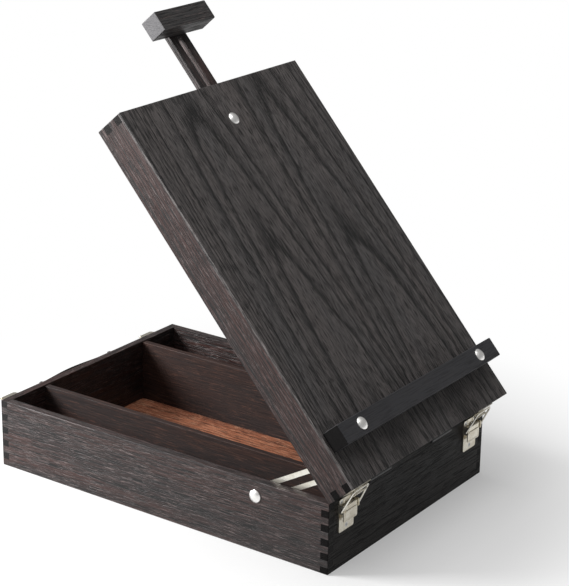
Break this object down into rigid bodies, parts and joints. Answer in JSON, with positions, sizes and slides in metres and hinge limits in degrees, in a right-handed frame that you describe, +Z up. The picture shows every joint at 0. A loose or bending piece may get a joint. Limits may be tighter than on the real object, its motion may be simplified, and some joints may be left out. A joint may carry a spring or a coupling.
{
  "type": "table-top sketch-box easel",
  "caption": "Shallow black-stained wooden paint box whose hinged lid stands up as an easel, with a canvas ledge, sliding mast, slotted stays, draw latches and a strap handle.",
  "frame": {"origin": "centre of the underside of the box", "axes": "+Z up, +Y away from the person painting (the hinged end of the box is at -Y), +X to their right"},
  "size_m": [0.283, 0.4568, 0.4657],
  "materials": {
    "stained_frame": "open-pored wood under black-brown stain, satin",
    "stained_panel": "grained veneer under black stain, satin",
    "stained_ledge": "black stain, satin",
    "inner_wood": "dark brown stain, satin",
    "floor_wood": "red-brown grained board, matt",
    "nickel_plate": "warm nickel plate",
    "nickel_wire": "bright nickel wire",
    "bright_bolt": "polished nickel",
    "zinc_fastener": "zinc plate",
    "stay_steel": "nickel-plated flat bar",
    "black_steel": "black lacquer",
    "black_leather": "black grained leather"
  },
  "bodies": {
    "box": {"box_front_wall": "stained_frame", "box_back_wall": "stained_frame", "box_left_wall": "stained_frame", "box_right_wall": "stained_frame", "box_floor": "floor_wood", "divider_left": "inner_wood", "divider_right": "inner_wood", "hinge_box_leaf_left": "black_steel", "hinge_box_leaf_right": "black_steel", "hinge_pins": "black_steel", "front_latch_base_left": "nickel_plate", "front_latch_base_right": "nickel_plate", "back_latch_base_left": "nickel_plate", "back_latch_base_right": "nickel_plate", "latch_lever_pins": "nickel_wire", "box_screws": "zinc_fastener", "stay_bolts": "bright_bolt", "stay_washers": "zinc_fastener", "handle_brackets": "black_steel"},
    "handle_ring_l": {"handle_ring_left": "black_steel"},
    "handle_ring_r": {"handle_ring_right": "black_steel"},
    "handle": {"handle_strap": "black_leather"},
    "lid": {"lid_bottom_rail": "stained_frame", "lid_top_rail": "stained_frame", "lid_left_rail": "stained_frame", "lid_right_rail": "stained_frame", "lid_panel": "stained_panel", "hinge_lid_leaf_left": "black_steel", "hinge_lid_leaf_right": "black_steel", "front_latch_keeper_left": "nickel_plate", "front_latch_keeper_right": "nickel_plate", "back_latch_keeper_left": "nickel_plate", "back_latch_keeper_right": "nickel_plate", "lid_screws": "zinc_fastener", "ledge": "stained_ledge", "ledge_bolts": "bright_bolt", "ledge_nuts": "zinc_fastener", "mast_guide_left": "stained_frame", "mast_guide_right": "stained_frame", "mast_bridge": "stained_frame", "mast_clamp_bolt": "bright_bolt", "mast_clamp_washer": "zinc_fastener", "stay_pivot_screws": "zinc_fastener", "stay_pivot_spacers": "zinc_fastener"},
    "mast": {"mast_bar": "stained_frame", "mast_head": "stained_frame", "mast_head_screws": "zinc_fastener"},
    "mast_clamp_nut": {"mast_wing_nut": "zinc_fastener"},
    "stay_bar_left": {"stay_left": "stay_steel"},
    "stay_nut_left": {"stay_wing_nut_left": "zinc_fastener"},
    "stay_bar_right": {"stay_right": "stay_steel"},
    "stay_nut_right": {"stay_wing_nut_right": "zinc_fastener"},
    "front_lever_left": {"front_latch_lever_left": "nickel_plate"},
    "front_bail_left": {"front_latch_bail_left": "nickel_wire"},
    "front_lever_right": {"front_latch_lever_right": "nickel_plate"},
    "front_bail_right": {"front_latch_bail_right": "nickel_wire"},
    "back_lever_left": {"back_latch_lever_left": "nickel_plate"},
    "back_bail_left": {"back_latch_bail_left": "nickel_wire"},
    "back_lever_right": {"back_latch_lever_right": "nickel_plate"},
    "back_bail_right": {"back_latch_bail_right": "nickel_wire"}
  },
  "joints": [
    {"name": "lid_hinge", "type": "hinge", "parent": "box", "child": "lid", "pos_m": [0, -0.2, 0.071], "axis": [1, 0, 0], "range_deg": [-48.7, 3]},
    {"name": "mast_slide", "type": "slide", "parent": "lid", "child": "mast", "axis": [0, 0.66, 0.7513], "range_m": [-0.058, 0.2]},
    {"name": "mast_nut_turn", "type": "hinge", "parent": "lid", "child": "mast_clamp_nut", "pos_m": [0, 0.03826, 0.34221], "axis": [0, -0.7513, 0.66], "range_deg": [0, 360]},
    {"name": "stay_swing_left", "type": "hinge", "parent": "lid", "child": "stay_bar_left", "pos_m": [-0.128, -0.19919, 0.10223], "axis": [1, 0, 0], "range_deg": [-4, 48]},
    {"name": "stay_nut_turn_left", "type": "hinge", "parent": "box", "child": "stay_nut_left", "pos_m": [-0.125, -0.118, 0.056], "axis": [1, 0, 0], "range_deg": [0, 360]},
    {"name": "stay_swing_right", "type": "hinge", "parent": "lid", "child": "stay_bar_right", "pos_m": [0.128, -0.19919, 0.10223], "axis": [1, 0, 0], "range_deg": [-4, 48]},
    {"name": "stay_nut_turn_right", "type": "hinge", "parent": "box", "child": "stay_nut_right", "pos_m": [0.125, -0.118, 0.056], "axis": [-1, 0, 0], "range_deg": [0, 360]},
    {"name": "front_lever_lift_left", "type": "hinge", "parent": "box", "child": "front_lever_left", "pos_m": [-0.111, -0.2035, 0.062], "axis": [-1, 0, 0], "range_deg": [0, 110]},
    {"name": "front_bail_swing_left", "type": "hinge", "parent": "box", "child": "front_bail_left", "pos_m": [-0.111, -0.2045, 0.059], "axis": [1, 0, 0], "range_deg": [-33, 3]},
    {"name": "front_lever_lift_right", "type": "hinge", "parent": "box", "child": "front_lever_right", "pos_m": [0.111, -0.2035, 0.062], "axis": [-1, 0, 0], "range_deg": [0, 110]},
    {"name": "front_bail_swing_right", "type": "hinge", "parent": "box", "child": "front_bail_right", "pos_m": [0.111, -0.2045, 0.059], "axis": [1, 0, 0], "range_deg": [-33, 3]},
    {"name": "back_lever_lift_left", "type": "hinge", "parent": "box", "child": "back_lever_left", "pos_m": [-0.111, 0.2035, 0.062], "axis": [1, 0, 0], "range_deg": [-85, 75]},
    {"name": "back_bail_swing_left", "type": "hinge", "parent": "box", "child": "back_bail_left", "pos_m": [-0.111, 0.2045, 0.059], "axis": [1, 0, 0], "range_deg": [0, 174]},
    {"name": "back_lever_lift_right", "type": "hinge", "parent": "box", "child": "back_lever_right", "pos_m": [0.111, 0.2035, 0.062], "axis": [1, 0, 0], "range_deg": [-85, 75]},
    {"name": "back_bail_swing_right", "type": "hinge", "parent": "box", "child": "back_bail_right", "pos_m": [0.111, 0.2045, 0.059], "axis": [1, 0, 0], "range_deg": [0, 174]},
    {"name": "handle_ring_swing_left", "type": "hinge", "parent": "box", "child": "handle_ring_l", "pos_m": [-0.055, 0.203, 0.0436], "axis": [0, 0, 1], "range_deg": [-60, 60]},
    {"name": "handle_ring_swing_right", "type": "hinge", "parent": "box", "child": "handle_ring_r", "pos_m": [0.055, 0.203, 0.0436], "axis": [0, 0, 1], "range_deg": [-60, 60]},
    {"name": "handle_strap_turn", "type": "hinge", "parent": "handle_ring_l", "child": "handle", "pos_m": [-0.055, 0.2235, 0.0436], "axis": [0, 0, 1], "range_deg": [-60, 60]}
  ],
  "couplings": [
    {"joint": "stay_swing_left", "follows": "lid_hinge", "ratio": -0.955},
    {"joint": "stay_swing_right", "follows": "lid_hinge", "ratio": -0.955},
    {"joint": "front_bail_swing_left", "follows": "lid_hinge", "ratio": 0.66},
    {"joint": "front_bail_swing_right", "follows": "lid_hinge", "ratio": 0.66},
    {"joint": "handle_ring_swing_right", "follows": "handle_ring_swing_left", "ratio": 1},
    {"joint": "handle_strap_turn", "follows": "handle_ring_swing_left", "ratio": -1}
  ]
}
